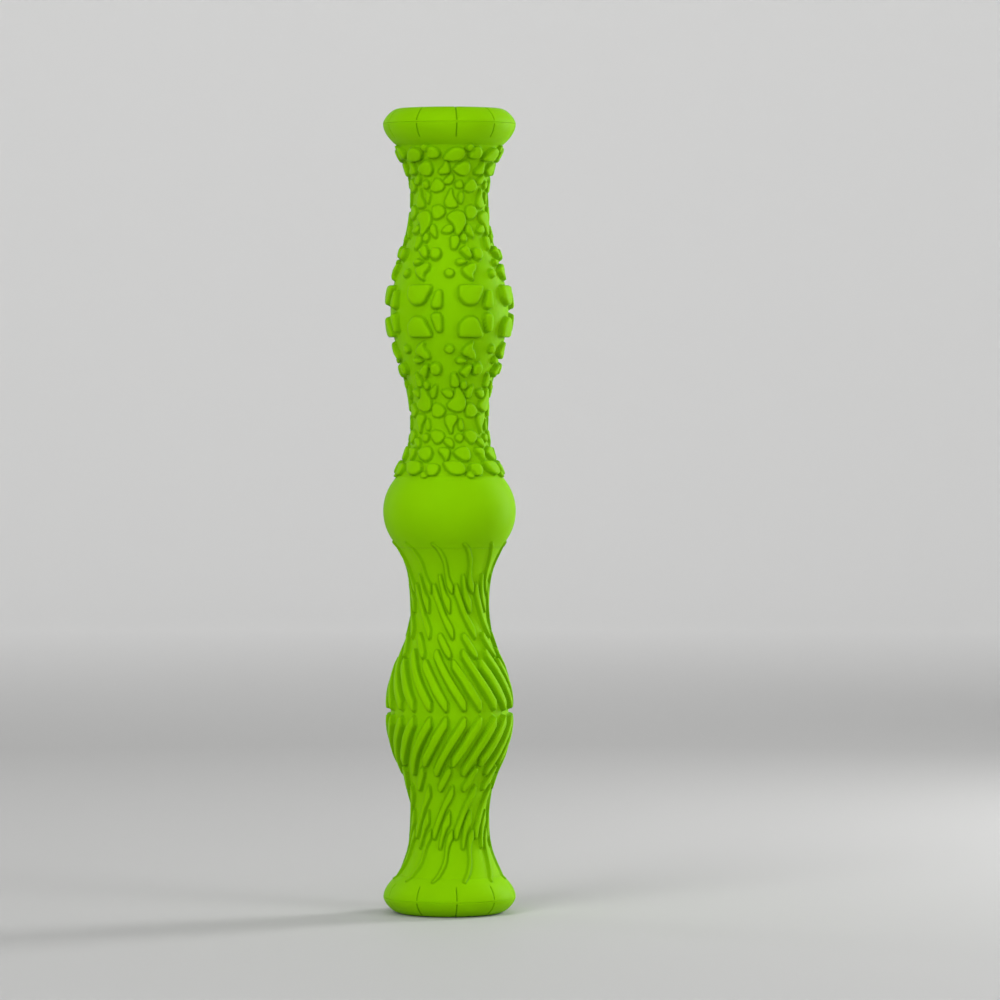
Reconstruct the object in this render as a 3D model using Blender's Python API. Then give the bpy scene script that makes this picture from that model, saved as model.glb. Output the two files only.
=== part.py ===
"""Foot massage roller: two soft textured barrels, a smooth bulge and two flanges on a rigid core.

Metres, +Z up. The roller stands on its wave end, with the origin at the centre of that end face.
The pebble half is the upper one. Heights called z below are measured from the middle of the roller,
and u is the distance along the axis from a barrel's equator.
"""
import math

import bmesh
import bpy
from mathutils import Matrix, Vector

MM = 0.001

# Overall size
LENGTH = 345.0 * MM
MIDDLE = LENGTH / 2
RIM_RADIUS = 28.5 * MM          # flange rims and the smooth bulge, the two largest diameters

# Stations along the axis, from the middle
BARREL_EQUATOR = 86.0 * MM
BULGE_EDGE = 15.5 * MM          # crease between the bulge and a barrel's skin
FLANGE_CREASE = 156.5 * MM      # crease between a barrel's skin and the flange
RIM_SEAM = 166.0 * MM           # widest line of the flange, where the end cap meets it

# Smooth outline
WAIST_RADIUS = 15.7 * MM
BARREL_RISE = 9.6 * MM          # barrel's equator above the waist
BARREL_HALF = 44.5 * MM         # from the equator to the waist
WAIST_HALF = 47.0 * MM          # where the flare to the crease begins
FLARE_LENGTH = 23.5 * MM
FLARE_RISE = 6.6 * MM
FLARE_POWER = 2.2
BULGE_ARC = 21.5 * MM
END_FACE_RADIUS = 22.2 * MM
SHOULDER_POWER = 1.5            # superellipse of the end cap's shoulder
BELL_DROP = 6.1 * MM            # rim to crease
BELL_POWER = 1.9

# Height of the texture over the smooth outline, at distances u in millimetres
PEBBLE_HEIGHTS = ((0, 2.4), (11, 2.5), (16, 2.0), (24, 2.7), (30, 1.4), (36, 1.7), (43, 1.4),
                  (54, 1.3), (60, 1.8), (66, 2.6), (70.5, 1.3))
WAVE_HEIGHTS = ((0, 2.1), (10, 2.6), (19, 2.6), (26, 1.9), (34, 1.5), (42, 1.4), (54, 1.4),
                (60, 1.1), (70.5, 1.0))

# Walls and gaps
SKIN_WALL = 3.2 * MM
CORE_WALL = 2.2 * MM
FIT_GAP = 0.55 * MM             # skin to core, all round
FACE_GAP = 0.3 * MM             # between neighbours along the axis
SPLIT_GAP = 0.3 * MM            # between the core's halves
WELD = 0.003 * MM               # corners closer than this after a cut are one corner

# Rigid core
CORE_END = 163.9 * MM
END_WALL = 2.2 * MM
END_BORE = 9.3 * MM
RIB_BORE = 5.0 * MM
RIB_THICKNESS = 2.0 * MM
RIB_STATIONS = (35.0 * MM, 61.0 * MM, 111.0 * MM, 137.0 * MM)
BOSS_RADIUS = 4.6 * MM
BOSS_SETBACK = 0.25 * MM        # boss face behind the split plane
PILOT_RADIUS = 1.75 * MM
HEAD_POCKET_RADIUS = 3.1 * MM
SCREW_RADIUS = 1.4 * MM
SCREW_HEAD_RADIUS = 2.7 * MM
SCREW_HEAD_HEIGHT = 2.0 * MM
# z, distance from the axis, seat depth under the head, reach into the rear half
SCREWS = (
    (0.0, 15.0 * MM, 14.6 * MM, 8.0 * MM),
    (86.0 * MM, 12.5 * MM, 12.2 * MM, 8.0 * MM),
    (150.0 * MM, 6.5 * MM, 8.3 * MM, 6.5 * MM),
)

# End cap
CAP_STEP_RADIUS = 24.4 * MM
CAP_STEP_DEPTH = 1.7 * MM
CAP_FACE_WALL = 2.6 * MM
CAP_POCKET_OUTER = 22.0 * MM
CAP_POCKET_INNER = 11.0 * MM
SPIGOT_RADIUS = 8.7 * MM
SPIGOT_BORE = 6.5 * MM
SPIGOT_END = 156.5 * MM

SKIN_SEGMENTS = 32
CORE_SEGMENTS = 24
SCREW_SEGMENTS = 8
FACET_TWIST = 0.11              # keeps a boss's or a hole's corners off the shell's own sections

# Sections of a barrel, as distances u in millimetres: where skin and core meet, and the crests
FIT_SECTIONS = (70.35, 62, 54, 47, 38, 28, 18, 9)
CREST_SECTIONS = (70.35, 66, 61, 54, 45, 38, 30, 24, 18, 11, 5)

LIME = (0.255, 0.560, 0.004)
CORE_GREY = (0.55, 0.56, 0.55)
STEEL = (0.60, 0.60, 0.62)


def clear_scene():
    for item in list(bpy.data.objects):
        bpy.data.objects.remove(item, do_unlink=True)


def make_material(name, colour, roughness, metallic=0.0):
    material = bpy.data.materials.new(name)
    material.use_nodes = True
    shader = material.node_tree.nodes["Principled BSDF"]
    shader.inputs["Base Color"].default_value = (*colour, 1.0)
    shader.inputs["Roughness"].default_value = roughness
    shader.inputs["Metallic"].default_value = metallic
    material.diffuse_color = (*colour, 1.0)
    return material


# ---- outline

def barrel_base(u):
    """Smooth radius of a barrel's skin at distance u from its equator."""
    u = abs(u)
    if u < BARREL_HALF:
        return WAIST_RADIUS + BARREL_RISE * (1 + math.cos(math.pi * u / BARREL_HALF)) / 2
    if u < WAIST_HALF:
        return WAIST_RADIUS
    return WAIST_RADIUS + FLARE_RISE * ((u - WAIST_HALF) / FLARE_LENGTH) ** FLARE_POWER


def bulge_radius(z):
    return RIM_RADIUS - BULGE_ARC + math.sqrt(BULGE_ARC ** 2 - z ** 2)


def bell_radius(z):
    """Flange outline between its crease and the widest line."""
    share = (RIM_SEAM - z) / (RIM_SEAM - FLANGE_CREASE)
    return RIM_RADIUS - BELL_DROP * share ** BELL_POWER


def cap_radius(z):
    """Rounded shoulder from the widest line to the end face."""
    share = (z - RIM_SEAM) / (MIDDLE - RIM_SEAM)
    rise = max(0.0, 1 - share ** SHOULDER_POWER) ** (1 / SHOULDER_POWER)
    return END_FACE_RADIUS + (RIM_RADIUS - END_FACE_RADIUS) * rise


def outline(z):
    z = abs(z)
    if z <= BULGE_EDGE:
        return bulge_radius(z)
    if z <= FLANGE_CREASE:
        return barrel_base(z - BARREL_EQUATOR)
    if z <= RIM_SEAM:
        return bell_radius(z)
    return cap_radius(z)


def texture_height(u, table):
    u = abs(u) / MM
    for (u0, h0), (u1, h1) in zip(table, table[1:]):
        if u <= u1:
            return (h0 + (h1 - h0) * (u - u0) / (u1 - u0)) * MM
    return table[-1][1] * MM


def both_sides(sections):
    """Distances u in metres from one crease to the other, through the equator."""
    below = [-u * MM for u in sections]
    return below + [0.0] + [-u for u in reversed(below)]


def spaced(start, end, count):
    return [start + (end - start) * i / count for i in range(count + 1)]


# ---- mesh helpers

def finish_mesh(name, bm, material, sharp_degrees=35.0):
    bmesh.ops.remove_doubles(bm, verts=bm.verts, dist=1e-6)
    bmesh.ops.recalc_face_normals(bm, faces=bm.faces)
    mesh = bpy.data.meshes.new(name)
    bm.to_mesh(mesh)
    bm.free()
    mesh.materials.append(material)
    mesh.shade_smooth()
    mesh.set_sharp_from_angle(angle=math.radians(sharp_degrees))
    item = bpy.data.objects.new(name, mesh)
    bpy.context.scene.collection.objects.link(item)
    return item


def turned(name, profile, material, segments, centre_z=MIDDLE):
    """Solid of revolution from a closed (radius, z) profile; points on the axis close the ends."""
    bm = bmesh.new()
    verts = [bm.verts.new((radius, 0.0, z)) for radius, z in profile]
    for first, second in zip(verts, verts[1:] + verts[:1]):
        if first.co.x > 1e-7 or second.co.x > 1e-7:
            bm.edges.new((first, second))
    bmesh.ops.spin(bm, geom=bm.verts[:] + bm.edges[:], cent=(0, 0, 0), axis=(0, 0, 1),
                   angle=2 * math.pi, steps=segments, use_merge=True)
    item = finish_mesh(name, bm, material)
    item.location.z = centre_z
    return item


def half_turned(name, profile, material, segments, side):
    """Half of a solid of revolution on the +Y (side 1) or -Y (side -1) side of the split plane."""
    bm = bmesh.new()
    verts = [bm.verts.new((side * radius, 0.0, z)) for radius, z in profile]
    for first, second in zip(verts, verts[1:] + verts[:1]):
        bm.edges.new((first, second))
    start = list(verts)
    result = bmesh.ops.spin(bm, geom=bm.verts[:] + bm.edges[:], cent=(0, 0, 0), axis=(0, 0, 1),
                            angle=math.pi, steps=segments // 2)
    last = {item for item in result["geom_last"] if isinstance(item, bmesh.types.BMVert)}
    end = []
    for v in start:
        match = min(last, key=lambda w: (w.co - Vector((-v.co.x, 0.0, v.co.z))).length)
        end.append(match)
    bm.faces.new(start)
    bm.faces.new(end)
    item = finish_mesh(name, bm, material)
    item.location = (0.0, side * SPLIT_GAP / 2, MIDDLE)
    return item


def rod(name, x, z, y_start, y_end, radius, segments=8):
    """Plain cylinder along Y, used as a cutter."""
    bm = bmesh.new()
    length = abs(y_end - y_start)
    bmesh.ops.create_cone(bm, cap_ends=True, segments=segments, radius1=radius, radius2=radius,
                          depth=length)
    turn = Matrix.Rotation(math.pi / 2, 4, "X") @ Matrix.Rotation(FACET_TWIST, 4, "Z")
    shift = Matrix.Translation((x, (y_start + y_end) / 2, MIDDLE + z))
    bmesh.ops.transform(bm, matrix=shift @ turn, verts=bm.verts)
    mesh = bpy.data.meshes.new(name)
    bm.to_mesh(mesh)
    bm.free()
    item = bpy.data.objects.new(name, mesh)
    bpy.context.scene.collection.objects.link(item)
    return item


def boss(name, x, z, side):
    """Cylinder along Y whose far end follows the middle of the core's wall."""
    bm = bmesh.new()
    count = 8
    near = []
    far = []
    for i in range(count):
        angle = 2 * math.pi * i / count + FACET_TWIST
        px = x + BOSS_RADIUS * math.cos(angle)
        pz = z + BOSS_RADIUS * math.sin(angle)
        reach = outline(pz) - SKIN_WALL - FIT_GAP - CORE_WALL / 2
        near.append(bm.verts.new((px, side * (SPLIT_GAP / 2 + BOSS_SETBACK), MIDDLE + pz)))
        far.append(bm.verts.new((px, side * math.sqrt(reach ** 2 - px ** 2), MIDDLE + pz)))
    reach = outline(z) - SKIN_WALL - FIT_GAP - CORE_WALL / 2
    tip = bm.verts.new((x, side * math.sqrt(reach ** 2 - x ** 2), MIDDLE + z))
    bm.faces.new(near)
    for i in range(count):
        j = (i + 1) % count
        bm.faces.new((near[i], near[j], far[j], far[i]))
        bm.faces.new((far[i], far[j], tip))
    bmesh.ops.recalc_face_normals(bm, faces=bm.faces)
    mesh = bpy.data.meshes.new(name)
    bm.to_mesh(mesh)
    bm.free()
    item = bpy.data.objects.new(name, mesh)
    bpy.context.scene.collection.objects.link(item)
    return item


def combine(target, others, operation):
    """Boolean every one of the others into the target, then remove them."""
    for other in others:
        modifier = target.modifiers.new(other.name, "BOOLEAN")
        modifier.operation = operation
        modifier.solver = "EXACT"
        modifier.object = other
    depsgraph = bpy.context.evaluated_depsgraph_get()
    mesh = bpy.data.meshes.new_from_object(target.evaluated_get(depsgraph))
    target.modifiers.clear()
    bm = bmesh.new()
    bm.from_mesh(mesh)
    bmesh.ops.remove_doubles(bm, verts=bm.verts, dist=WELD)
    bmesh.ops.dissolve_degenerate(bm, edges=bm.edges, dist=WELD)
    bm.to_mesh(mesh)
    bm.free()
    old = target.data
    target.data = mesh
    mesh.name = old.name + "_cut"
    bpy.data.meshes.remove(old)
    for other in others:
        bpy.data.objects.remove(other, do_unlink=True)


# ---- soft skin

def sleeve(name, sign, table, material):
    """Soft barrel skin between its two creases, drawn to the crests of its texture."""
    outer = []
    for u in both_sides(CREST_SECTIONS):
        outer.append((barrel_base(u) + texture_height(u, table), sign * (BARREL_EQUATOR + u)))
    inner = []
    for u in both_sides(FIT_SECTIONS):
        inner.append((barrel_base(u) - SKIN_WALL, sign * (BARREL_EQUATOR + u)))
    profile = outer + inner[::-1]
    return turned(name, profile, material, SKIN_SEGMENTS)


def centre_collar(material):
    edge = BULGE_EDGE - FACE_GAP / 2
    outer = [(bulge_radius(z), z) for z in spaced(-edge, edge, 10)]
    inner = [(bulge_radius(z) - SKIN_WALL, z) for z in (-edge, -8 * MM, 0.0, 8 * MM, edge)]
    return turned("centre_collar", outer + inner[::-1], material, SKIN_SEGMENTS)


def end_flange(name, sign, material):
    low = FLANGE_CREASE + FACE_GAP / 2
    high = RIM_SEAM - FACE_GAP / 2
    outer = [(bell_radius(z), sign * z) for z in spaced(low, high, 6)]
    inner = [(bell_radius(z) - SKIN_WALL, sign * z) for z in (low, 159.0 * MM, 161.5 * MM, CORE_END, high)]
    return turned(name, outer + inner[::-1], material, SKIN_SEGMENTS)


def end_cap(name, sign, material):
    """Domed disc that closes the end: a step inside the flange and a spigot in the core's bore."""
    low = RIM_SEAM + FACE_GAP / 2
    step = RIM_SEAM - CAP_STEP_DEPTH
    roof = MIDDLE - CAP_FACE_WALL
    shoulder = []
    for i in range(6):
        angle = math.pi / 2 * i / 5
        z = low + (MIDDLE - low) * math.sin(angle) ** (2 / SHOULDER_POWER)
        radius = END_FACE_RADIUS
        if i < 5:
            radius += (RIM_RADIUS - END_FACE_RADIUS) * math.cos(angle) ** (2 / SHOULDER_POWER)
        shoulder.append((radius, z))
    profile = [(0.0, MIDDLE)] + shoulder[::-1]
    profile += [(CAP_STEP_RADIUS, low), (CAP_STEP_RADIUS, step), (CAP_POCKET_OUTER, step)]
    profile += [(CAP_POCKET_OUTER, roof), (CAP_POCKET_INNER, roof), (CAP_POCKET_INNER, step)]
    profile += [(SPIGOT_RADIUS, step), (SPIGOT_RADIUS, SPIGOT_END), (SPIGOT_BORE, SPIGOT_END)]
    profile += [(SPIGOT_BORE, roof), (0.0, roof)]
    profile = [(radius, sign * z) for radius, z in profile]
    return turned(name, profile, material, SKIN_SEGMENTS)


# ---- rigid core

def core_radius(z):
    return outline(z) - SKIN_WALL - FIT_GAP


def core_profile():
    """Closed (radius, z) outline of one half shell with its cross ribs and end walls."""
    side = [0.0, 8.0 * MM, BULGE_EDGE]
    side += [BARREL_EQUATOR + u for u in both_sides(FIT_SECTIONS)]
    side += [159.0 * MM, 161.5 * MM, CORE_END]
    outer = [(core_radius(z), z) for z in side]
    roof = CORE_END - END_WALL
    inner = [(END_BORE, CORE_END), (END_BORE, roof), (core_radius(roof) - CORE_WALL, roof)]
    plain = [0.0, BULGE_EDGE, BARREL_EQUATOR - 18 * MM, BARREL_EQUATOR, BARREL_EQUATOR + 18 * MM,
             FLANGE_CREASE]
    half = RIB_THICKNESS / 2
    for z in sorted(plain + list(RIB_STATIONS), reverse=True):
        if z in plain:
            inner.append((core_radius(z) - CORE_WALL, z))
            continue
        inner.append((core_radius(z + half) - CORE_WALL, z + half))
        inner.append((RIB_BORE, z + half))
        inner.append((RIB_BORE, z - half))
        inner.append((core_radius(z - half) - CORE_WALL, z - half))
    upper = outer + inner
    lower = [(radius, -z) for radius, z in reversed(upper) if z > 1e-6]
    return upper + lower


def screw_places():
    """Every screw as (x, z, seat depth, reach), one pair at each station."""
    places = []
    for station, offset, seat, reach in SCREWS:
        for z in ((station,) if station == 0.0 else (station, -station)):
            for x in (offset, -offset):
                places.append((x, z, seat, reach))
    return places


def core_half(name, side, material):
    half = half_turned(name, core_profile(), material, CORE_SEGMENTS, side)
    bosses = [boss(f"boss_{i}", x, z, side) for i, (x, z, _, _) in enumerate(screw_places())]
    combine(half, bosses, "UNION")
    cutters = []
    for i, (x, z, seat, reach) in enumerate(screw_places()):
        if side < 0:
            cutters.append(rod(f"hole_{i}", x, z, 0.002, -seat - 0.001, PILOT_RADIUS))
            cutters.append(rod(f"pocket_{i}", x, z, -seat, -0.04, HEAD_POCKET_RADIUS))
        else:
            cutters.append(rod(f"hole_{i}", x, z, -0.002, reach + 0.0008, PILOT_RADIUS))
    combine(half, cutters, "DIFFERENCE")
    return half


def core_screw(name, x, z, seat, reach, material):
    """Self-tapping screw along Y with a recessed pan head in the front half."""
    head = SCREW_HEAD_HEIGHT
    profile = [
        (0.0, head - 1.0 * MM), (1.0 * MM, head), (SCREW_HEAD_RADIUS - 0.5 * MM, head),
        (SCREW_HEAD_RADIUS, head - 0.6 * MM), (SCREW_HEAD_RADIUS, FACE_GAP),
        (SCREW_RADIUS, FACE_GAP), (SCREW_RADIUS, -seat - reach + 2.0 * MM), (0.0, -seat - reach),
    ]
    screw = turned(name, profile, material, SCREW_SEGMENTS, centre_z=0.0)
    screw.rotation_euler = (math.pi / 2, 0.0, 0.0)
    screw.location = (x, -seat, MIDDLE + z)
    return screw


def main():
    clear_scene()
    skin = make_material("lime_skin", LIME, 0.45)
    core = make_material("core_plastic", CORE_GREY, 0.5)
    steel = make_material("screw_steel", STEEL, 0.3, 1.0)

    sleeve("pebble_sleeve", 1, PEBBLE_HEIGHTS, skin)
    sleeve("wave_sleeve", -1, WAVE_HEIGHTS, skin)
    centre_collar(skin)
    end_flange("pebble_end_flange", 1, skin)
    end_flange("wave_end_flange", -1, skin)
    end_cap("pebble_end_cap", 1, skin)
    end_cap("wave_end_cap", -1, skin)
    core_half("core_half_front", -1, core)
    core_half("core_half_rear", 1, core)
    for number, (x, z, seat, reach) in enumerate(screw_places(), start=1):
        core_screw(f"core_screw_{number}", x, z, seat, reach, steel)


main()
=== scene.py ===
"""Looks of the foot massage roller: a lime elastomer skin with pebbles and slanted ridges in relief.

Lengths in the tables are millimetres, angles are degrees. Angle 0 faces -Y and grows to the right
of a person who looks along +Y. z is measured from the middle of the roller, and u is the distance
along the axis from a barrel's equator.
"""

import math

import bpy
import numpy as np
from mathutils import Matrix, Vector


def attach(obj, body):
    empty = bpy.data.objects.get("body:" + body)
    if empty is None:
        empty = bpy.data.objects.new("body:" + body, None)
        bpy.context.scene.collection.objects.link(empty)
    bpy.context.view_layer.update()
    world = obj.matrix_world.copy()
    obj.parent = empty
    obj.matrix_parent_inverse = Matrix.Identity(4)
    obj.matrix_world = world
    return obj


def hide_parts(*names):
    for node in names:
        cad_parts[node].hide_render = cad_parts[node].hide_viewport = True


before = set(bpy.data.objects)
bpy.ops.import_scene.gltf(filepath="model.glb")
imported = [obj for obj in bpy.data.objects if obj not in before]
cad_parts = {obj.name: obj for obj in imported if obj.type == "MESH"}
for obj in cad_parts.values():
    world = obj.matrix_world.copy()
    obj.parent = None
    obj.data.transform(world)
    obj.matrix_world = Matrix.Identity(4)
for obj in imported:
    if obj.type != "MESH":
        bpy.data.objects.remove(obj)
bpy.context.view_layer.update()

MM = 0.001

# ---- sizes, the same as in the CAD
MIDDLE = 172.5                  # half the length
RIM_RADIUS = 28.5               # flange rims and the smooth bulge, the two largest diameters
BARREL_EQUATOR = 86.0
BULGE_EDGE = 15.5               # z of the crease between the bulge and a sleeve
FLANGE_CREASE = 156.5           # z of the crease between a sleeve and its flange
RIM_SEAM = 166.0                # z of the widest line of a rim, where the end cap meets the flange
CREASE_U = 70.5                 # from a barrel's equator to either of its creases
WAIST_RADIUS = 15.7
BARREL_RISE = 9.6               # barrel's equator above the waist
BARREL_HALF = 44.5              # from the equator to the waist
WAIST_HALF = 47.0               # where the flare to a crease begins
FLARE_LENGTH = 23.5
FLARE_RISE = 6.6
FLARE_POWER = 2.2
BULGE_ARC = 21.5                # radius of the bulge's outline
END_FACE_RADIUS = 22.2
SHOULDER_POWER = 1.5            # superellipse of an end cap's shoulder
BELL_DROP = 6.1                 # rim to crease
BELL_POWER = 1.9
SKIN_WALL = 3.2
CORE_END = 163.9
CAP_STEP_RADIUS = 24.4
CAP_STEP_DEPTH = 1.7
CAP_FACE_WALL = 2.6
CAP_POCKET_OUTER = 22.0
CAP_POCKET_INNER = 11.0
SPIGOT_RADIUS = 8.7
SPIGOT_BORE = 6.5
SPIGOT_END = 156.5

# ---- relief
HALF_GAP = 0.02                 # half the gap between neighbouring pieces
FOOT = 0.28                     # the wall starts this far outside an outline
FOOT_FADE = 0.12, 0.5           # its foot fades in from this much further out, over this width
SHOULDER = 0.34, 0.46           # width of a pebble's shoulder: a part, and a share of the height
RIDGE_SHOULDER = 0.28, 0.10     # the same for the ridges, whose tops are flat
CORNER = 0.25                   # length cut off on both sides of a ridge's corners
CORNER_SHARE = 0.3              # the most of a side that one cut takes
ROUNDNESS = 2.3                 # exponent of the shoulder's superellipse
CROWN = 0.05                    # share of the height that the top still gains past the shoulder
CROWN_WIDTH = 1.2               # length in which it gains most of that
SHADE_MIDDLE, SHADE_WIDTH = -0.10, 0.42     # painted shade: a darker line painted along the feet, where shade falls
TURN_LENGTH = 4.0               # the relief turns from surface normal to radial over this, at a crease
MEET_LENGTH = 2.4               # a neighbour's radius is eased to the barrel's over this, past a crease
NEAR_U, NEAR_ANGLE = 2, 4       # points further than this from an outline's box are left alone
LOOP_STEPS = 4                  # points on a pebble's outline for each one in its table

# ---- rows and columns of the meshes
AROUND = 308                    # columns round a barrel
ROWS = 152                      # rows from a barrel's equator to its crease
OUTLINE_STEPS = 4001            # steps of the tables that outlines are read from
SHOULDER_STEPS = 2001           # the same for an end cap's shoulder
SLEEVE_WALL_U = 62, 54, 47, 38, 28, 18, 9   # rings inside a sleeve, at u and -u
COLLAR_WALL_Z = 8               # rings inside the collar, at z and -z
COLLAR_FINE = 4.6               # arc past a crease with close rows
COLLAR_ROWS = 11, 15            # rows on it, and from its end to the middle, both counted
FLANGE_ROWS, FLANGE_ROWS_END = 26, 0.9      # even rows, which end this far from the seam
SEAM_ROWS = 0.7, 0.5, 0.36, 0.24, 0.14, 0.07    # the flange's last rows, as distances from the seam
FLANGE_WALL_Z = 161.5, 159.0    # rings inside a flange
FLANGE_LIP = 0.5                # gap round the cap's step
CAP_SEAM_ROWS = 0, 0.03, 0.10, 0.20, 0.32, 0.46, 0.66, 0.9, 1.3     # the cap's first rows
CAP_ROWS = 14                   # rows from the last of them to the end face, both counted
CAP_FACE_RADII = 21.4, 20.5, 19.5, 18.9, 18.5, 18.1, 17.7, 16.5, 13.0, 9.0, 5.0, 2.0
GROOVE_COLUMNS = -1.15, -0.8, -0.55, -0.3, 0, 0.3, 0.55, 0.8, 1.15      # degrees from a groove
PLAIN_COLUMNS, PLAIN_FROM = 31, 1.6     # columns between two grooves, and their first angle

# The relief repeats round the roller. Angles in the tables are spread and turned by these.
PEBBLE_REPEATS, PEBBLE_SPREAD, PEBBLE_TURN = 7, 8 / 7, 1.4
WAVE_REPEATS, WAVE_SPREAD, WAVE_TURN = 11, 12 / 11, 0.6
# Outlines slide along u, each as (u, shift); a barrel's inner half is the one beside the collar
PEBBLE_SLIDES = {"inner": ((0, -0.5), (8, -0.55), (14, -0.8), (30, -0.4), (50, 0)),
                 "outer": ((0, -0.9), (10, -1.35), (30, -1.35), (50, -0.7))}
WAVE_SLIDES = {"inner": ((0, 0.3), (50, 0)), "outer": ((0, 0.1), (50, -1.2))}

# Outlines of one repeat as (angle, u) at the foot, each after its height
PEBBLES = (
    (2.75, ((17, 3.1), (12.9, 3.4), (9.7, 4.7), (7.4, 6.2), (6.7, 7.9), (6.8, 10.4), (8, 11.6),
           (12, 11.9), (20, 11.9), (26, 11.9), (28.5, 11.6), (29.1, 10.6), (28, 9), (25.8, 6.8),
           (24, 4.9), (21.1, 3.5))),
    (2.65, ((-12.4, 1.6), (-15, 2.1), (-15.8, 3.5), (-14.7, 5.5), (-13.2, 7.6), (-12, 9.2), (-10.3, 9.7),
           (-8, 9.6), (-6.8, 8.6), (-6.7, 5), (-7, 3), (-8.5, 1.9), (-11, 1.6))),
    (1.9, ((-0.9, 15.2), (-3.8, 15.7), (-5.2, 17), (-4.1, 18.2), (-0.9, 18.8), (2.3, 18.2),
           (3.6, 17), (2.1, 15.7))),
    (2.3, ((20.3, 13.9), (15, 15.2), (11.5, 17), (10.7, 18.2), (12.6, 19.4), (15.8, 19.9),
           (19.1, 20.8), (23.5, 21.1), (25.4, 20.2), (24.2, 18.2), (21.2, 16.7), (20.8, 15.2),
           (21.4, 14.3))),
    (2.0, ((5.6, 21.3), (7.6, 20.4), (10.8, 20.4), (14.3, 21), (16.8, 21.9), (13.4, 22.6), (9.2, 23),
           (6.3, 22.5))),
    (2.7, ((10, 26.2), (12.5, 25.2), (15.5, 23.9), (18.5, 23.1), (21.5, 23.3), (22.5, 24.3), (21.7, 25.7),
           (20.5, 27), (18.7, 28.2), (16.8, 28.7), (14.3, 28), (11.5, 27.2))),
    (2.7, ((-16, 22.5), (-19.6, 23.4), (-20.8, 25), (-20.6, 26.4), (-19.1, 27.3), (-16, 27.6),
           (-12.2, 27.4), (-10, 26.4), (-9.2, 25), (-10.5, 23.5), (-13, 22.7))),
    (1.6, ((3.6, 27), (.9, 27.7), (.4, 30), (.3, 32), (2.6, 32.7), (7, 32.9), (10, 32.3),
           (10.9, 31), (9.7, 29.5), (7.7, 28.1), (5.9, 27.2))),
    (1.9, ((12.3, 31.8), (13.4, 30.6), (16, 30.1), (18.7, 30.7), (19.9, 32), (18.6, 33.4),
           (15.7, 33.9), (13.2, 33.1))),
    (1.6, ((-25.5, 34.6), (-22.5, 33.3), (-17.5, 32), (-15.5, 32.5), (-16.6, 35), (-18.5, 37),
           (-21.5, 37.6), (-24.3, 37.2))),
    (1.6, ((-10.5, 34.5), (-5, 33.75), (-.5, 33.9), (3, 34.75), (4, 36), (2.3, 37.25), (-1, 37.5),
           (-5, 37), (-8, 36))),
    (1.7, ((7, 33.4), (10.5, 33.1), (13.5, 34.1), (16.5, 35.6), (19.3, 37.3), (20.5, 39), (20.3, 40.8),
           (18.5, 42.3), (15.5, 43.1), (10, 43.5), (4, 43), (-.5, 42.25), (-3.5, 41.25), (-3.6, 40),
           (-.5, 38.75), (3.2, 37.6), (5.4, 36), (5.8, 34.7))),
    (1.4, ((-19, 39.75), (-15, 39.9), (-11, 40.6), (-7.5, 41.75), (-6, 43), (-7.5, 44.25),
           (-10, 45.1), (-15, 45.75), (-20, 45.5), (-23.3, 45), (-24.3, 43.5), (-23.8, 41.5),
           (-22, 40.25))),
    (1.4, ((0, 44.4), (5, 44.5), (9, 45), (9.8, 46), (8, 47.5), (5.5, 48.75), (4, 50), (3, 52),
           (1.5, 52.6), (-.5, 52), (-3, 50.25), (-5.5, 48.75), (-7, 47.25), (-6.7, 45.75),
           (-4, 44.75))),
    (1.3, ((10.8, 49), (11.5, 47.3), (13.8, 46.3), (16, 46.6), (17.5, 48), (18.3, 49.6), (17, 51),
           (14, 51.3), (11.8, 50.7))),
    (1.4, ((-26, 52), (-23, 51.4), (-19, 51.1), (-14, 51.4), (-10, 51.9), (-7.2, 53.2), (-7.5, 54.5),
           (-10, 55.6), (-13, 56.6), (-16, 57), (-19, 56.75), (-21.5, 55.75), (-24.5, 54.5),
           (-26, 53.2))),
    (1.4, ((6.5, 54.25), (7.5, 53.2), (10, 52.75), (13.5, 52.7), (16.5, 53.3), (17, 54.3),
           (15.8, 55.5), (12.5, 56.25), (9.5, 56), (7, 55.25))),
    (1.5, ((-8, 55.5), (-6, 54.6), (-1, 54.5), (2, 55.1), (4.5, 56.75), (4, 58.25), (1.5, 58.75),
           (-1.5, 58.25), (-5, 57.25), (-7.5, 56.25))),
    (2.0, ((-14, 60), (-13, 59), (-9, 58.75), (-3, 59.1), (-.5, 59.75), (0, 60.75), (-1, 62.5),
           (-2.5, 64), (-5, 64.6), (-7, 63.5), (-9.5, 62), (-12.5, 61))),
    (2.0, ((3.5, 60.75), (6, 59.75), (10, 58.75), (15, 58.25), (19, 58.3), (22, 59.2), (24, 60.8),
           (23.3, 63), (20.5, 64.3), (16, 64.6), (12, 63.9), (8, 63), (5, 61.75))),
    (2.6, ((-7.5, 65.4), (-4, 64.9), (1, 64.6), (7.5, 64.75), (11.5, 65.3), (14, 66.4), (15.5, 68),
           (14, 69.2), (10, 69.9), (5, 70), (.5, 69.5), (-3, 68.5), (-5.5, 67.25))),
    (2.4, ((-25, 66.75), (-23.7, 66), (-20, 65.75), (-15, 65.9), (-11.8, 66.5), (-10.7, 67.75),
           (-12, 69.25), (-15, 70.2), (-18.5, 70.4), (-21.5, 70), (-24, 68.75))),
    (1.9, ((15.6, 69.9), (16.8, 69), (19.6, 68.6), (22.4, 69), (23.6, 69.9), (22.4, 70.9),
           (19.6, 71.3), (16.8, 70.9))),
)
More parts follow.
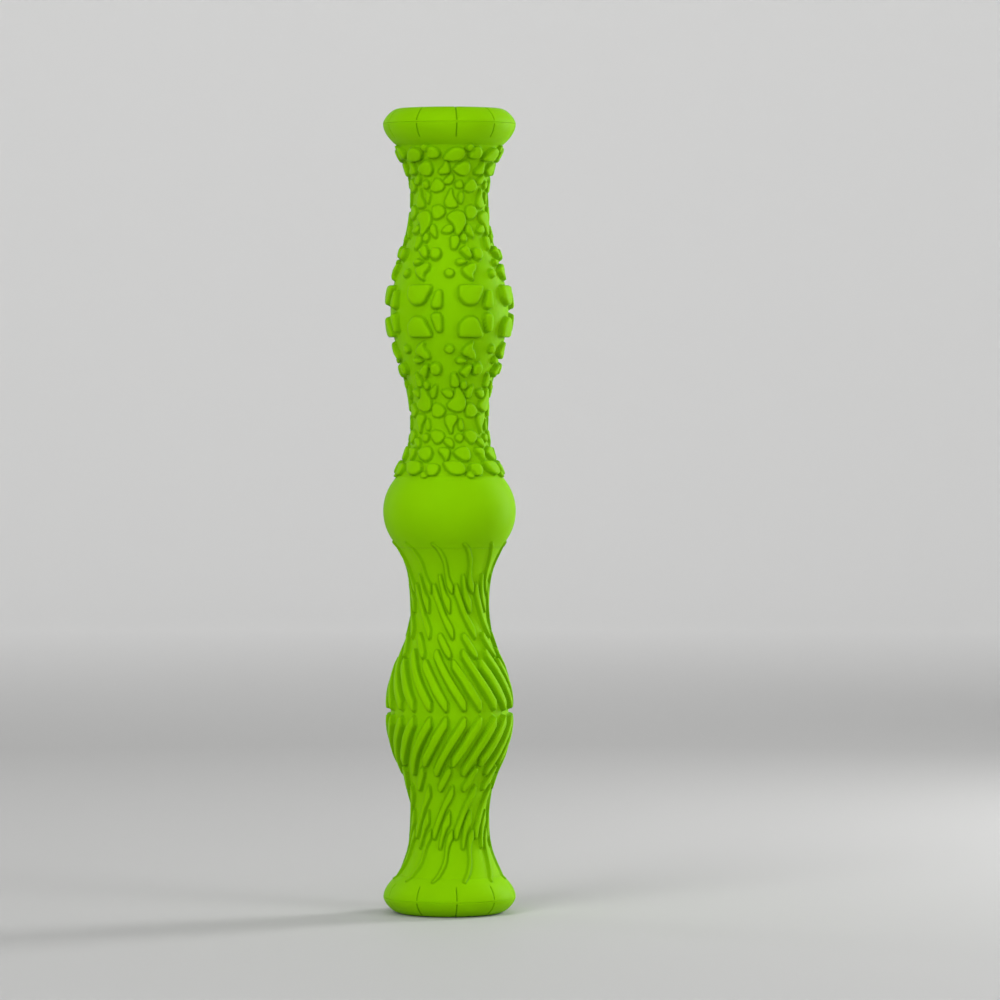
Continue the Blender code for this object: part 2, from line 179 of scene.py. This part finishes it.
RIDGES = (
    ((-17.3, 26.0), (-15.3, 27.1), (-13, 26.8), (-10, 24.5), (0, 16.25), (10, 8.5), (14.3, 5.0),
     (14.3, 1.5), (12.5, 0.9), (10, 2.0), (0, 9.75), (-10, 18.0), (-17.2, 23.7)),
    ((-28, 22), (-27.5, 22.75), (-24.5, 22.5), (-20, 19.5), (-15, 16), (-10, 12), (-5, 7.75),
     (-1.7, 5), (-1.5, 1.5), (-3, 0.5), (-5, 1.5), (-10, 5), (-15, 8.75), (-20, 13.25),
     (-25, 16.75), (-28, 19)),
    ((-14.5, 33.5), (-12.3, 34.1), (-10, 33.9), (-5, 31), (0, 27.25), (1.7, 25.5), (1.5, 23.5),
     (-1, 22.9), (-5, 24.75), (-10, 28.25), (-14.5, 31.5)),
    ((-23.3, 54.8), (-22.5, 55.3), (-19.5, 55.3), (-15, 50.75), (-10, 46.25), (-5, 42.0), (0, 39.3),
     (4, 36.75), (5.2, 35.25), (5, 32), (3.5, 31.25), (1.5, 32.25), (-2, 34.5), (-5, 36.4),
     (-10, 39.9), (-14, 43), (-17.5, 46), (-20.5, 48.5), (-23.3, 50.7)),
    ((-14.3, 59.2), (-12.8, 59.5), (-11, 59.5), (-9, 56.5), (-7, 53.5), (-4, 51), (0, 49),
     (1, 48.2), (1, 43), (-0.5, 42.5), (-4, 44.5), (-7.5, 47), (-10, 49.25), (-12, 52.75),
     (-14, 56.5)),
    ((-17.2, 73.0), (-15.6, 73.3), (-10.6, 71.2), (-7.2, 69), (-4.5, 66.75), (-3, 64.5), (-2.3, 62),
     (-1, 59), (1.5, 56.75), (4, 55.25), (4.5, 54.5), (4.5, 51.5), (3.5, 51.1), (0, 52.25),
     (-2.3, 53.4), (-4.2, 55.3), (-5.3, 58), (-6, 60.5), (-6.5, 63), (-7.9, 65.6), (-10.6, 68.4),
     (-14.4, 71), (-16.6, 72.3)),
)
# Height of the ridges at distances u
RIDGE_HEIGHTS = ((0, 2.1), (4, 2.5), (10, 2.7), (19, 2.6), (26, 1.9), (34, 1.6), (42, 1.5),
                 (54, 1.4), (60, 1.2), (68, 1.1), (73, 0.9))

# Thin grooves over the rim
GROOVES = 10
FIRST_GROOVE = -65.0            # angle of one of them
GROOVE_DEPTH = 0.5
GROOVE_FLOOR = 0.06             # half width of the flat floor
GROOVE_HALF = 0.36              # width of a groove's side
GROOVE_START = 159.2            # z where a groove begins under the rim
GROOVE_RUN_IN = 0.9             # length over which it gets its depth there
GROOVE_FACE_END = 18.0          # radius where it ends on the end face
GROOVE_FACE_FADE = 1.0          # length over which it gets its depth there
SEAM_EDGE = 0.18                # radius of the rounded edges along the seam
SEAM_CLEAR = 0.85               # a groove has its full depth up to this far from the seam
SEAM_FADE = 0.35                # and none this much nearer


# ---- outline

def barrel_base(u):
    u = np.abs(u)
    barrel = WAIST_RADIUS + BARREL_RISE * (1 + np.cos(np.pi * np.minimum(u, BARREL_HALF) / BARREL_HALF)) / 2
    flare = FLARE_RISE * (np.maximum(u - WAIST_HALF, 0) / FLARE_LENGTH) ** FLARE_POWER
    return barrel + flare


def bulge_radius(z):
    return RIM_RADIUS - BULGE_ARC + np.sqrt(BULGE_ARC ** 2 - z ** 2)


def bell_radius(z):
    return RIM_RADIUS - BELL_DROP * (np.maximum(RIM_SEAM - z, 0) / (RIM_SEAM - FLANGE_CREASE)) ** BELL_POWER


def smooth(t):
    t = np.clip(t, 0, 1)
    return t * t * t * (t * (6 * t - 15) + 10)


class Meridian:
    """Smooth outline along u: radius, slope angle and arc length, from a fine table."""

    def __init__(self, radius, low, high):
        self.u = np.linspace(low, high, OUTLINE_STEPS)
        self.r = radius(self.u)
        slope = np.gradient(self.r, self.u)
        self.tilt = np.arctan(slope)
        step = np.hypot(np.diff(self.u), np.diff(self.r))
        self.s = np.concatenate(([0.0], np.cumsum(step)))
        self.s -= np.interp(min(CREASE_U, high), self.u, self.s)

    def radius(self, u):
        return np.interp(u, self.u, self.r)

    def arc(self, u):
        return np.interp(u, self.u, self.s)

    def at_arc(self, s):
        return np.interp(s, self.s, self.u)

    def angle(self, u):
        return np.interp(u, self.u, self.tilt)


# Arc length is 0 at the crease, negative on a barrel and positive past it. Past a barrel's inner
# crease comes the bulge, past its outer crease the flange; both from u = CREASE_U
barrel = Meridian(barrel_base, 0.0, CREASE_U)
bulge = Meridian(lambda u: bulge_radius(BARREL_EQUATOR - u), CREASE_U, BARREL_EQUATOR)
bell = Meridian(lambda u: bell_radius(u + BARREL_EQUATOR), CREASE_U, RIM_SEAM - BARREL_EQUATOR)
bulge.s -= bulge.s[0]
bell.s -= bell.s[0]


def arc_past_crease(u, beyond):
    """Arc length from the crease, for points on the barrel or on the outline beyond it."""
    return np.where(u <= CREASE_U, barrel.arc(u), beyond.arc(np.maximum(u, CREASE_U)))


def meet(beyond, u):
    """Radius past a crease, eased so that it starts at the barrel's own."""
    step = float(barrel.radius(CREASE_U) - beyond.radius(CREASE_U))
    return beyond.radius(u) + step * (1 - smooth((u - CREASE_U) / MEET_LENGTH))


# ---- relief

def rounded_loop(points):
    """Closed Catmull-Rom loop through the points."""
    p = np.array(points, float)
    before, after, later = np.roll(p, 1, 0), np.roll(p, -1, 0), np.roll(p, -2, 0)
    loop = []
    for t in np.arange(LOOP_STEPS) / LOOP_STEPS:
        loop.append(0.5 * (2 * p + (after - before) * t + (2 * before - 5 * p + 4 * after - later) * t ** 2
                           + (3 * p - before - 3 * after + later) * t ** 3))
    return np.stack(loop, 1).reshape(-1, 2)


def cut_loop(points):
    """Closed loop of straight sides with its corners cut a little."""
    loop = []
    for before, here, after in zip(points[-1:] + points[:-1], points, points[1:] + points[:1]):
        for other in (before, after):
            side = math.hypot(other[0] - here[0], other[1] - here[1])
            part = min(CORNER / side, CORNER_SHARE)
            loop.append((here[0] + part * (other[0] - here[0]), here[1] + part * (other[1] - here[1])))
    return np.array(loop, float)


def signed_distance(x, y, loop):
    """Distance of the points to a closed loop, positive inside."""
    tiny = 1e-12
    ax, ay = loop[:, 0][:, None], loop[:, 1][:, None]
    bx, by = np.roll(loop[:, 0], -1)[:, None], np.roll(loop[:, 1], -1)[:, None]
    ex, ey = bx - ax, by - ay
    t = np.clip(((x - ax) * ex + (y - ay) * ey) / (ex * ex + ey * ey + tiny), 0, 1)
    distance = np.sqrt(((x - ax - t * ex) ** 2 + (y - ay - t * ey) ** 2).min(0))
    crosses = ((ay > y) != (by > y)) & (x < ex * (y - ay) / np.where(np.abs(ey) < tiny, tiny, ey) + ax)
    return np.where(crosses.sum(0) % 2 == 1, distance, -distance)


def profile(d, width):
    """Share of the height at distance d inside an outline: a steep wall under a rounded shoulder."""
    t = np.clip((d + FOOT) / (FOOT + width), 0, 1)
    rise = (1 - (1 - t) ** ROUNDNESS) ** (1 / ROUNDNESS) * smooth((d + FOOT + FOOT_FADE[0]) / FOOT_FADE[1])
    crown = 1 - np.exp(-np.maximum(d - width, 0) / CROWN_WIDTH)
    return rise * (1 - CROWN + CROWN * crown)


def relief(kind, half, angles, u, radius, arc, beyond):
    """Height and painted foot shade of the texture on rows (u, radius, arc length) and angles in degrees.

    beyond is the outline past the crease of this half of the barrel."""
    if kind == "pebble":
        repeat, spread, turn, slides = 360 / PEBBLE_REPEATS, PEBBLE_SPREAD, PEBBLE_TURN, PEBBLE_SLIDES
        shoulder = SHOULDER
        shapes = [(h, rounded_loop(points)) for h, points in PEBBLES]
    else:
        repeat, spread, turn, slides = 360 / WAVE_REPEATS, WAVE_SPREAD, WAVE_TURN, WAVE_SLIDES
        shoulder = RIDGE_SHOULDER
        shapes = [(None, cut_loop(points)) for points in RIDGES]
    for _, loop in shapes:
        loop[:, 0] = loop[:, 0] * spread + turn
        loop[:, 1] += np.interp(loop[:, 1], *zip(*slides[half]))
    ridge = np.interp(u, *zip(*RIDGE_HEIGHTS))
    folded = (angles + repeat / 2) % repeat - repeat / 2
    height = np.zeros((len(u), len(angles)))
    shade = np.zeros((len(u), len(angles)))
    for tall, loop in shapes:
        left, right = loop[:, 0].min(), loop[:, 0].max()
        bottom, top = loop[:, 1].min(), loop[:, 1].max()
        loop_arc = arc_past_crease(loop[:, 1], beyond)
        for i in range(len(u)):
            if not bottom - NEAR_U < u[i] < top + NEAR_U:
                continue
            per_degree = radius[i] * math.pi / 180
            h = tall or ridge[i]
            for shift in (-repeat, 0, repeat):
                near = (folded > left + shift - NEAR_ANGLE) & (folded < right + shift + NEAR_ANGLE)
                if not near.any():
                    continue
                scaled = np.column_stack(((loop[:, 0] + shift) * per_degree, loop_arc))
                d = signed_distance(folded[near] * per_degree, np.full(near.sum(), arc[i]), scaled)
                rise = h * profile(d, shoulder[0] + shoulder[1] * h)
                # painted shade: a darker line along the feet, where shade falls
                line = np.exp(-((d - SHADE_MIDDLE) / SHADE_WIDTH) ** 2)
                height[i, near] = np.maximum(height[i, near], rise)
                shade[i, near] = np.maximum(shade[i, near], line)
    return height, shade


# ---- mesh

def surface(angles, z, radius, tilt, height):
    """Rings of points on an outline (z, radius), raised by height.

    They are raised along the radial direction tilted by tilt, in radians, towards -z."""
    a = np.radians(angles)[None, :]
    r = radius[:, None] + height * np.cos(tilt)[:, None]
    zz = z[:, None] - height * np.sin(tilt)[:, None]
    return np.stack((r * np.sin(a), -r * np.cos(a), zz + 0 * a), -1)


def ring(angles, radius, z):
    a = np.radians(angles)
    return np.stack((radius * np.sin(a), -radius * np.cos(a), np.full(len(a), float(z))), -1)


def solid(name, rings, node, shade, hard=(), poles=()):
    """Closed mesh from rings of points in order, as the piece that stands for a CAD node.

    Without poles the last ring joins the first; poles are the z of the points that close the first
    and the last ring. shade is the painted foot shade of the first rings, darker colour where shade
    falls, and it is 0 on all others. hard are the numbers of the rings whose edges are sharp."""
    points = np.concatenate(rings) * MM
    count = len(rings[0])
    total = len(rings)
    points[:, 2] += MIDDLE * MM
    i, j = np.meshgrid(np.arange(total - 1 if poles else total), np.arange(count), indexing="ij")
    k, n = (i + 1) % total, (j + 1) % count
    faces = np.stack((i * count + j, i * count + n, k * count + n, k * count + j), -1).reshape(-1, 4)

    corners = points[faces]
    volume = 0.0
    for second, third in ((1, 2), (2, 3)):
        across = np.cross(corners[:, second], corners[:, third])
        volume += np.einsum("ij,ij->i", corners[:, 0], across).sum()

    faces, points = faces.tolist(), points.tolist()
    if poles:
        for pole_z, row, turn in ((poles[0], 0, 1), (poles[1], total - 1, -1)):
            apex = len(points)
            points.append((0.0, 0.0, (pole_z + MIDDLE) * MM))
            for c in range(count):
                pair = (row * count + c, row * count + (c + 1) % count)
                faces.append([apex, *(pair[::turn][::-1])])
    mesh = bpy.data.meshes.new(name)
    mesh.from_pydata(points, [], faces)
    mesh.validate()
    if volume < 0:
        mesh.flip_normals()
    mesh.shade_smooth()

    ends = np.zeros(len(mesh.edges) * 2, np.int64)
    mesh.edges.foreach_get("vertices", ends)
    ends = ends.reshape(-1, 2) // count
    flags = (ends[:, 0] == ends[:, 1]) & np.isin(ends[:, 0], [h % total for h in hard])
    mesh.attributes.new("sharp_edge", "BOOLEAN", "EDGE").data.foreach_set("value", flags)
    # painted shade along the feet, kept on the points as the foot attribute for the material
    foot = np.zeros(len(points), np.float32)
    foot[:shade.size] = shade.ravel()
    mesh.attributes.new("foot", "FLOAT", "POINT").data.foreach_set("value", foot)
    mesh.materials.append(lime_skin)

    item = bpy.data.objects.new(name, mesh)
    bpy.context.scene.collection.objects.link(item)
    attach(item, "root")
    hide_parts(node)


# ---- materials

DRIFT_SCALE, PATCH_SCALE = 38.0, 160.0      # noise of the colour drift and of the roughness, per metre
BUMP_STRENGTH = 0.35


def node_material(name, colour, other, blend, roughness, spread, grain, depth, painted_shade_tint=None):
    """Principled material with slow colour drift, uneven roughness and fine surface grain.

    colour drifts to other over the noise values 0.5 - blend to 0.5 + blend, and roughness varies by
    spread. grain is the scale of the surface grain per metre and depth its height in metres.
    The painted shade tint multiplies the colour where the mesh's foot attribute is 1, painting shade along
    the feet."""
    material = bpy.data.materials.new(name)
    material.use_nodes = True
    tree = material.node_tree
    shader = tree.nodes["Principled BSDF"]
    place = tree.nodes.new("ShaderNodeTexCoord")

    def noise(scale, detail):
        texture = tree.nodes.new("ShaderNodeTexNoise")
        texture.inputs["Scale"].default_value = scale
        texture.inputs["Detail"].default_value = detail
        tree.links.new(place.outputs["Object"], texture.inputs["Vector"])
        return texture.outputs["Fac"]

    ramp = tree.nodes.new("ShaderNodeValToRGB")
    low, high = ramp.color_ramp.elements
    low.position, low.color = 0.5 - blend, (*colour, 1)
    high.position, high.color = 0.5 + blend, (*other, 1)
    tree.links.new(noise(DRIFT_SCALE, 2.0), ramp.inputs["Fac"])
    base = ramp.outputs["Color"]
    if painted_shade_tint:
        # painted shade: the colour is multiplied by the tint where the foot attribute is 1
        line = tree.nodes.new("ShaderNodeAttribute")
        line.attribute_name = "foot"
        darker = tree.nodes.new("ShaderNodeMix")
        darker.data_type = "RGBA"
        darker.blend_type = "MULTIPLY"
        darker.inputs["B"].default_value = (*painted_shade_tint, 1)
        tree.links.new(line.outputs["Fac"], darker.inputs["Factor"])
        tree.links.new(base, darker.inputs["A"])
        base = darker.outputs["Result"]
    tree.links.new(base, shader.inputs["Base Color"])

    patches = tree.nodes.new("ShaderNodeMapRange")
    patches.inputs["To Min"].default_value = roughness - spread
    patches.inputs["To Max"].default_value = roughness + spread
    tree.links.new(noise(PATCH_SCALE, 3.0), patches.inputs["Value"])
    tree.links.new(patches.outputs["Result"], shader.inputs["Roughness"])

    bump = tree.nodes.new("ShaderNodeBump")
    bump.inputs["Strength"].default_value = BUMP_STRENGTH
    bump.inputs["Distance"].default_value = depth
    tree.links.new(noise(grain, 3.0), bump.inputs["Height"])
    tree.links.new(bump.outputs["Normal"], shader.inputs["Normal"])
    return material, shader.inputs


# the elastomer's colour is darkened along the feet of the pebbles and ridges and in the rim's grooves:
# painted shade
lime_skin, lime = node_material(
    "lime_elastomer", (0.205, 0.500, 0.0008), (0.225, 0.535, 0.0010), blend=0.25, roughness=0.46,
    spread=0.05, grain=2600.0, depth=0.00006, painted_shade_tint=(0.63, 0.69, 0.60))
lime["IOR"].default_value = 1.45
lime["Specular IOR Level"].default_value = 0.02
lime["Specular Tint"].default_value = (0.70, 1.0, 0.15, 1)
lime["Subsurface Weight"].default_value = 0.10
lime["Subsurface Radius"].default_value = (0.35, 1.0, 0.05)
lime["Subsurface Scale"].default_value = 0.0009
lime["Sheen Weight"].default_value = 0.03
lime["Sheen Roughness"].default_value = 0.45
lime["Sheen Tint"].default_value = (0.65, 1.0, 0.05, 1)

core_plastic, moulding = node_material(
    "core_moulding", (0.50, 0.51, 0.50), (0.58, 0.59, 0.57), blend=0.3, roughness=0.5,
    spread=0.06, grain=1500.0, depth=0.00008)
moulding["IOR"].default_value = 1.49

screw_steel, steel = node_material(
    "screw_steel_turned", (0.55, 0.55, 0.57), (0.66, 0.66, 0.68), blend=0.3, roughness=0.3,
    spread=0.07, grain=3000.0, depth=0.00003)
steel["Metallic"].default_value = 1.0

for name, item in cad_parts.items():
    if name.startswith("core_"):
        item.data.materials.clear()
        item.data.materials.append(screw_steel if "screw" in name else core_plastic)


# ---- pieces

def sleeve(kind, sign):
    """Textured sleeve of a barrel, with its smooth inner wall."""
    angles = np.arange(AROUND) * 360.0 / AROUND
    arcs = np.linspace(barrel.s[0], -HALF_GAP, ROWS)
    half_u = barrel.at_arc(arcs)
    radius = barrel.radius(half_u)
    inner_half = relief(kind, "inner", angles, half_u, radius, arcs, bulge)
    outer_half = relief(kind, "outer", angles, half_u, radius, arcs, bell)
    turn = barrel.angle(half_u) * smooth((CREASE_U - half_u) / TURN_LENGTH)
    u = np.concatenate((-half_u[:0:-1], half_u))
    height, shade = (np.concatenate((low[:0:-1], high)) for low, high in zip(inner_half, outer_half))
    tilt = np.concatenate((-turn[:0:-1], turn))
    outer = surface(angles, BARREL_EQUATOR + u, np.concatenate((radius[:0:-1], radius)), tilt, height)
    outer[..., 2] *= sign
    rings = list(outer)
    wall = half_u[-1], *SLEEVE_WALL_U
    for u_in in (*wall, 0, *(-stop for stop in wall[::-1])):
        rings.append(ring(angles, barrel_base(u_in) - SKIN_WALL, sign * (BARREL_EQUATOR + u_in)))
    last = len(outer) - 1
    solid(f"{kind}_sleeve_skin", rings, f"{kind}_sleeve", shade, hard=(0, last, last + 1, -1))


def collar():
    """Smooth bulge; ridge tips and crease pebbles run onto its two edges."""
    angles = np.arange(AROUND) * 360.0 / AROUND
    fine = np.linspace(HALF_GAP, COLLAR_FINE, COLLAR_ROWS[0])
    coarse = np.linspace(COLLAR_FINE, bulge.s[-1], COLLAR_ROWS[1])[1:]
    arcs = np.concatenate((fine, coarse))
    u = bulge.at_arc(arcs)
    radius = meet(bulge, u)
    turn = bulge.angle(u) * smooth((u - CREASE_U) / TURN_LENGTH)
    halves, shades = [], []
    for kind, sign in (("wave", -1), ("pebble", 1)):
        height, shade = relief(kind, "inner", angles, u, radius, arcs, bulge)
        half = surface(angles, BARREL_EQUATOR - u, radius, -turn, height)
        half[..., 2] *= sign
        halves.append(half)
        shades.append(shade)
    outer = np.concatenate((halves[0], halves[1][-2::-1]))
    shade = np.concatenate((shades[0], shades[1][-2::-1]))
    rings = list(outer)
    edge = BULGE_EDGE - HALF_GAP
    for z in (edge, COLLAR_WALL_Z, 0, -COLLAR_WALL_Z, -edge):
        rings.append(ring(angles, bulge_radius(z) - SKIN_WALL, z))
    last = len(outer) - 1
    solid("centre_collar_skin", rings, "centre_collar", shade, hard=(0, last, last + 1, -1))


def rim_angles():
    """Angles round a rim, closer together at the grooves."""
    step = 360.0 / GROOVES
    plain = np.linspace(PLAIN_FROM, step - PLAIN_FROM, PLAIN_COLUMNS)
    return np.concatenate([FIRST_GROOVE + step * k + np.concatenate((GROOVE_COLUMNS, plain))
                           for k in range(GROOVES)])


def groove_depth(angles, radius, along):
    """Depth of the thin grooves; along is 0 to 1 where each groove runs."""
    step = 360.0 / GROOVES
    away = np.abs((angles - FIRST_GROOVE + step / 2) % step - step / 2)
    across = away[None, :] * math.pi / 180 * radius[:, None]
    return GROOVE_DEPTH * (1 - smooth((across - GROOVE_FLOOR) / GROOVE_HALF)) * along[:, None]


def clear_of_seam(away):
    """0 to 1: how much of its depth a groove has at this distance from the seam."""
    return smooth((away - SEAM_CLEAR + SEAM_FADE) / SEAM_FADE)


def seam_edge(away):
    """What the rounded edge takes off the radius at this distance from the seam."""
    return SEAM_EDGE * np.clip(1 - away / SEAM_EDGE, 0, 1) ** 2


def flange(kind, sign):
    """Flared bell from the crease to the rim's seam, with the grooves' first part."""
    angles = rim_angles()
    arcs = np.concatenate((np.linspace(HALF_GAP, bell.s[-1] - FLANGE_ROWS_END, FLANGE_ROWS),
                           bell.s[-1] - np.array((*SEAM_ROWS, HALF_GAP))))
    u = bell.at_arc(arcs)
    radius = meet(bell, u)
    height, shade = relief(kind, "outer", angles, u, radius, arcs, bell)
    away = bell.s[-1] - arcs
    start = arcs - bell.arc(GROOVE_START - BARREL_EQUATOR)
    cut = groove_depth(angles, radius, smooth(start / GROOVE_RUN_IN) * clear_of_seam(away))
    turn = bell.angle(u) * smooth((u - CREASE_U) / TURN_LENGTH)
    outer = surface(angles, BARREL_EQUATOR + u, radius - seam_edge(away), turn, height - cut)
    rings = list(outer)
    rings.append(ring(angles, CAP_STEP_RADIUS + FLANGE_LIP, RIM_SEAM - HALF_GAP))
    for z in (CORE_END, *FLANGE_WALL_Z, FLANGE_CREASE + HALF_GAP):
        rings.append(ring(angles, bell_radius(z) - SKIN_WALL, z))
    for part in rings:
        part[:, 2] *= sign
    last = len(outer) - 1
    # the grooves are painted darker by their depth: painted shade in the recesses
    solid(f"{kind}_end_flange_skin", rings, f"{kind}_end_flange",
          np.maximum(shade, cut / GROOVE_DEPTH), hard=(0, last, last + 1, -1))


def cap(kind, sign):
    """Rounded shoulder and flat end face with the grooves carried over, step and spigot inside."""
    angles = rim_angles()
    low = RIM_SEAM + HALF_GAP
    table = np.linspace(0, math.pi / 2, SHOULDER_STEPS)
    path_z = low + (MIDDLE - low) * np.sin(table) ** (2 / SHOULDER_POWER)
    path_r = END_FACE_RADIUS + (RIM_RADIUS - END_FACE_RADIUS) * np.cos(table) ** (2 / SHOULDER_POWER)
    path_s = np.concatenate(([0.0], np.cumsum(np.hypot(np.diff(path_r), np.diff(path_z)))))
    rest = np.linspace(CAP_SEAM_ROWS[-1], path_s[-1], CAP_ROWS)[1:]
    stops = np.concatenate((CAP_SEAM_ROWS, rest))
    z, radius = np.interp(stops, path_s, path_z), np.interp(stops, path_s, path_r)
    turned = np.interp(stops, path_s, np.arctan2(-np.gradient(path_r), np.gradient(path_z)))
    # after the shoulder, the flat face
    on_face = len(CAP_FACE_RADII)
    radius, z = np.concatenate((radius, CAP_FACE_RADII)), np.concatenate((z, np.full(on_face, MIDDLE)))
    tilt = np.concatenate((turned, np.full(on_face, math.pi / 2)))
    away = np.concatenate(([0.0], np.cumsum(np.hypot(np.diff(radius), np.diff(z)))))
    along = clear_of_seam(away) * smooth((radius - GROOVE_FACE_END) / GROOVE_FACE_FADE)
    cut = groove_depth(angles, radius, along)
    rings = list(surface(angles, z, radius - seam_edge(away), -tilt, -cut))[::-1]
    last = len(rings) - 1
    step = RIM_SEAM - CAP_STEP_DEPTH
    roof = MIDDLE - CAP_FACE_WALL
    inside = ((CAP_STEP_RADIUS, low), (CAP_STEP_RADIUS, step), (CAP_POCKET_OUTER, step),
              (CAP_POCKET_OUTER, roof), (CAP_POCKET_INNER, roof), (CAP_POCKET_INNER, step),
              (SPIGOT_RADIUS, step), (SPIGOT_RADIUS, SPIGOT_END), (SPIGOT_BORE, SPIGOT_END),
              (SPIGOT_BORE, roof))
    rings.extend(ring(angles, inner, inner_z) for inner, inner_z in inside)
    for part in rings:
        part[:, 2] *= sign
    # the grooves are painted darker by their depth: painted shade in the recesses
    solid(f"{kind}_end_cap_skin", rings, f"{kind}_end_cap", cut[::-1] / GROOVE_DEPTH,
          hard=range(last, len(rings)), poles=(sign * MIDDLE, sign * roof))


sleeve("pebble", 1)
sleeve("wave", -1)
collar()
for kind, sign in (("pebble", 1), ("wave", -1)):
    flange(kind, sign)
    cap(kind, sign)


# ---- studio, in metres

FLOOR_COLOUR, WALL_COLOUR = (0.50, 0.50, 0.495), (0.88, 0.88, 0.875)
FLOOR_ENDS, WALL_STARTS = 1.0, 2.4      # distances between which the colour changes
STAGE_ROUGHNESS = 0.7
STAGE_LOW = -0.0003             # just under the end face, so that the two never share a plane
STAGE_RINGS, STAGE_STEP = 5, 0.5        # rings of the flat floor
STAGE_REACH = 2.6               # radius where the floor starts to curve up
STAGE_BEND = 0.9                # radius of that curve
STAGE_BEND_STEPS = 16
STAGE_TOP = 2.6
STAGE_SIDES = 96
CENTRE = (0.0, 0.0, 0.1725)     # the roller's middle
WORLD_STRENGTH = 0.13
LENS, SENSOR = 192.8, 36.0      # millimetres
EYE = (0.0217, -2.30, 0.2385)
LOOKS_DOWN = 1.526              # degrees


def stage_material():
    """Pale floor that turns paler towards the wall."""
    material = bpy.data.materials.new("studio_pale")
    material.use_nodes = True
    tree = material.node_tree
    shader = tree.nodes["Principled BSDF"]
    shader.inputs["Roughness"].default_value = STAGE_ROUGHNESS
    place = tree.nodes.new("ShaderNodeTexCoord")
    away = tree.nodes.new("ShaderNodeVectorMath")
    away.operation = "LENGTH"
    change = tree.nodes.new("ShaderNodeMapRange")
    change.inputs["From Min"].default_value = FLOOR_ENDS
    change.inputs["From Max"].default_value = WALL_STARTS
    pale = tree.nodes.new("ShaderNodeMix")
    pale.data_type = "RGBA"
    pale.inputs["A"].default_value = (*FLOOR_COLOUR, 1)
    pale.inputs["B"].default_value = (*WALL_COLOUR, 1)
    tree.links.new(place.outputs["Object"], away.inputs[0])
    tree.links.new(away.outputs["Value"], change.inputs["Value"])
    tree.links.new(change.outputs["Result"], pale.inputs["Factor"])
    tree.links.new(pale.outputs["Result"], shader.inputs["Base Color"])
    return material


def backdrop():
    """Round floor that curves up into a wall on all sides, so that it closes every view."""
    path = [(STAGE_STEP * (k + 1), STAGE_LOW) for k in range(STAGE_RINGS)]
    for k in range(STAGE_BEND_STEPS + 1):
        a = math.pi / 2 * k / STAGE_BEND_STEPS
        path.append((STAGE_REACH + STAGE_BEND * math.sin(a),
                     STAGE_LOW + STAGE_BEND - STAGE_BEND * math.cos(a)))
    path.append((STAGE_REACH + STAGE_BEND, STAGE_TOP))
    count = STAGE_SIDES
    points = [(r * math.sin(2 * math.pi * n / count), -r * math.cos(2 * math.pi * n / count), z)
              for r, z in path for n in range(count)]
    faces = [(k * count + n, (k + 1) * count + n, (k + 1) * count + (n + 1) % count,
              k * count + (n + 1) % count) for k in range(len(path) - 1) for n in range(count)]
    faces.append(tuple(range(count)))
    mesh = bpy.data.meshes.new("studio_floor")
    mesh.from_pydata(points, [], faces)
    mesh.shade_smooth()
    mesh.materials.append(stage_material())
    item = bpy.data.objects.new("studio_floor", mesh)
    bpy.context.scene.collection.objects.link(item)


def area_light(name, place, target, size, power, size_y=None):
    light = bpy.data.lights.new(name, "AREA")
    light.energy = power
    light.size = size
    if size_y:
        light.shape = "RECTANGLE"
        light.size_y = size_y
    item = bpy.data.objects.new(name, light)
    item.location = place
    item.rotation_euler = (Vector(target) - Vector(place)).to_track_quat("-Z", "Y").to_euler()
    bpy.context.scene.collection.objects.link(item)


backdrop()
area_light("key", (1.25, -0.85, 0.75), CENTRE, 0.60, 6.5)
area_light("top", (0.05, -0.45, 2.00), CENTRE, 0.80, 6)
area_light("fill", (-0.95, -1.60, 0.85), CENTRE, 0.9, 15.5)
area_light("fill_high", (-0.90, -1.10, 1.60), CENTRE, 0.8, 5.3)
area_light("front", (0.10, -1.90, 1.20), CENTRE, 0.8, 4.5)
area_light("rim_right", (0.85, 0.50, 0.30), CENTRE, 0.25, 12.5, size_y=1.1)
area_light("rim_left", (-0.85, 0.62, 0.30), CENTRE, 0.20, 1.5, size_y=1.1)
area_light("wall_behind", (0.0, 1.50, 2.40), (0.0, 3.5, 0.8), 2.0, 24)

world = bpy.data.worlds.new("studio")
world.use_nodes = True
world.node_tree.nodes["Background"].inputs["Color"].default_value = (1, 1, 1, 1)
world.node_tree.nodes["Background"].inputs["Strength"].default_value = WORLD_STRENGTH
bpy.context.scene.world = world
bpy.context.scene.view_settings.view_transform = "Standard"

camera = bpy.data.cameras.new("camera")
camera.lens = LENS
camera.sensor_width = SENSOR
camera.clip_start, camera.clip_end = 0.05, 30.0
eye = bpy.data.objects.new("camera", camera)
eye.location = EYE
eye.rotation_euler = (math.radians(90 - LOOKS_DOWN), 0.0, 0.0)
bpy.context.scene.collection.objects.link(eye)
bpy.context.scene.camera = eye
